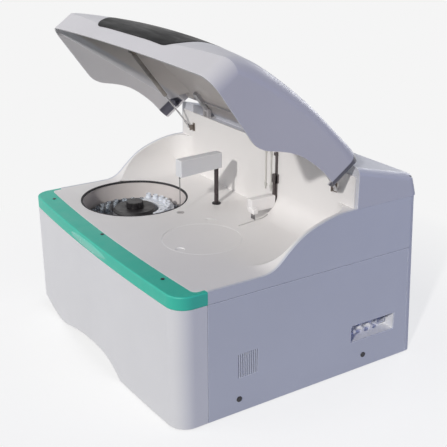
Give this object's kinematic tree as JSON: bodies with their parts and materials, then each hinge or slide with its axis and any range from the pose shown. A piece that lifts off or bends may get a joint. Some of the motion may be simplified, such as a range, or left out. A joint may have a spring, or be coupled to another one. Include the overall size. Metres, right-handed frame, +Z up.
{
  "type": "benchtop chemistry analyzer",
  "caption": "Benchtop clinical chemistry analyzer with a raised clamshell lid on gas struts, sample disc in a round well, swinging probe and a covered reaction disc",
  "frame": {"origin": "bottom centre of the bounding box, on the bench", "axes": "X to the operator's right; Y to the rear, the shortest side; Z up"},
  "size_m": [0.8232, 0.7318, 0.8424],
  "materials": {
    "abs_white": "moulded ABS, fine texture",
    "abs_white_lid": "moulded ABS, fine texture",
    "abs_green": "moulded ABS, satin",
    "abs_green_light": "moulded ABS, satin",
    "smoked_pane": "smoked acrylic",
    "black_plastic": "satin",
    "grey_plastic": "satin",
    "dark_liner": "satin",
    "clear_tube": "clear polystyrene",
    "bottle_white": "translucent polyethylene",
    "steel": "brushed",
    "sheet_steel": "zinc plated",
    "chrome": "bright",
    "rubber": "matte",
    "tubing": "PTFE",
    "aluminium": "milled"
  },
  "bodies": {
    "chassis": {"base_tray": "sheet_steel", "feet": "rubber", "frame_posts": "sheet_steel", "module_shelf": "sheet_steel", "front_panel": "abs_white", "left_side_panel": "abs_white", "right_side_panel": "abs_white", "rear_panel": "abs_white", "side_plugs": "grey_plastic", "service_recess": "abs_white", "fluid_ports": "bottle_white", "level_connector": "black_plastic", "trim_strip": "abs_green", "strip_grip": "abs_green_light", "trim_screws": "black_plastic", "deck_cover": "abs_white", "rear_cover": "abs_white", "hinge_brackets": "sheet_steel", "strut_feet": "black_plastic", "well_liner": "abs_white", "well_gasket": "rubber", "tube_sensor": "black_plastic", "disc_bearing": "aluminium", "drive_belt": "rubber", "disc_motor": "black_plastic", "probe_sleeve": "black_plastic", "probe_tower": "sheet_steel", "wash_cup": "dark_liner", "reaction_motor": "black_plastic", "photometer": "aluminium", "wash_rail": "black_plastic", "wall_tubes": "tubing", "fan_frame": "black_plastic", "fan_guard": "chrome", "power_inlet": "black_plastic"},
    "lid": {"lid_shell": "abs_white_lid", "lid_window": "smoked_pane", "hinge_arms": "sheet_steel", "strut_heads": "black_plastic"},
    "strut_cylinder_left": {"strut_cylinder_left": "black_plastic"},
    "strut_cylinder_right": {"strut_cylinder_right": "black_plastic"},
    "strut_rod_left": {"strut_rod_left": "chrome"},
    "strut_rod_right": {"strut_rod_right": "chrome"},
    "sample_disc": {"disc_tray": "grey_plastic", "sample_cups": "clear_tube", "reagent_bottles": "bottle_white", "calibrator_tubes": "clear_tube", "disc_hub": "black_plastic", "disc_knob": "black_plastic", "disc_shaft": "steel"},
    "motor_pulley": {"motor_pulley": "aluminium"},
    "reaction_disc": {"reaction_disc": "clear_tube"},
    "reaction_cover": {"reaction_cover": "abs_white"},
    "probe_lift": {"lift_carriage": "aluminium"},
    "probe": {"probe_shaft": "steel", "probe_arm": "abs_white", "probe_needle": "steel"},
    "wash_head": {"wash_head": "bottle_white"},
    "fan_rotor": {"fan_rotor": "black_plastic"},
    "switch_rocker": {"switch_rocker": "black_plastic"}
  },
  "joints": [
    {"name": "lid_hinge", "type": "hinge", "parent": "chassis", "child": "lid", "pos_m": [0, 0.163, 0.532], "axis": [1, 0, 0], "range_deg": [0, 54.5]},
    {"name": "strut_swing_left", "type": "hinge", "parent": "lid", "child": "strut_cylinder_left", "pos_m": [-0.345, -0.057, 0.722], "axis": [1, 0, 0], "range_deg": [-1, 1.5]},
    {"name": "strut_stroke_left", "type": "slide", "parent": "strut_cylinder_left", "child": "strut_rod_left", "axis": [0, -0.6057, 0.7957], "range_m": [0, 0.0605]},
    {"name": "strut_swing_right", "type": "hinge", "parent": "lid", "child": "strut_cylinder_right", "pos_m": [0.345, -0.057, 0.722], "axis": [1, 0, 0], "range_deg": [-1, 1.5]},
    {"name": "strut_stroke_right", "type": "slide", "parent": "strut_cylinder_right", "child": "strut_rod_right", "axis": [0, -0.6057, 0.7957], "range_m": [0, 0.0605]},
    {"name": "sample_disc_turn", "type": "hinge", "parent": "chassis", "child": "sample_disc", "pos_m": [-0.218, -0.127, 0.262], "axis": [0, 0, 1], "continuous": true},
    {"name": "motor_pulley_turn", "type": "hinge", "parent": "chassis", "child": "motor_pulley", "pos_m": [-0.218, 0.065, 0.17], "axis": [0, 0, 1], "continuous": true},
    {"name": "reaction_disc_turn", "type": "hinge", "parent": "chassis", "child": "reaction_disc", "pos_m": [0.1435, -0.1245, 0.28], "axis": [0, 0, 1], "continuous": true},
    {"name": "reaction_cover_lift", "type": "slide", "parent": "chassis", "child": "reaction_cover", "axis": [0, 0, 1], "range_m": [0, 0.04]},
    {"name": "probe_lift", "type": "slide", "parent": "chassis", "child": "probe_lift", "axis": [0, 0, 1], "range_m": [-0.04, 0]},
    {"name": "probe_swing", "type": "hinge", "parent": "probe_lift", "child": "probe", "pos_m": [-0.052, 0.041, 0.4], "axis": [0, 0, 1], "range_deg": [-52, 48]},
    {"name": "wash_lift", "type": "slide", "parent": "chassis", "child": "wash_head", "axis": [0, 0, 1], "range_m": [0, 0.03]},
    {"name": "fan_turn", "type": "hinge", "parent": "chassis", "child": "fan_rotor", "pos_m": [0.215, 0.34388, 0.18909], "axis": [0, 0.9983, 0.0586], "continuous": true},
    {"name": "switch_rock", "type": "hinge", "parent": "chassis", "child": "switch_rocker", "pos_m": [-0.2765, 0.35374, 0.08949], "axis": [1, 0, 0], "range_deg": [0, 14]}
  ],
  "couplings": [
    {"joint": "strut_swing_left", "follows": "lid_hinge", "ratio": 0.008},
    {"joint": "strut_stroke_left", "follows": "lid_hinge", "m_per_rad": 0.063},
    {"joint": "strut_swing_right", "follows": "lid_hinge", "ratio": 0.008},
    {"joint": "strut_stroke_right", "follows": "lid_hinge", "m_per_rad": 0.063},
    {"joint": "motor_pulley_turn", "follows": "sample_disc_turn", "ratio": 3}
  ]
}
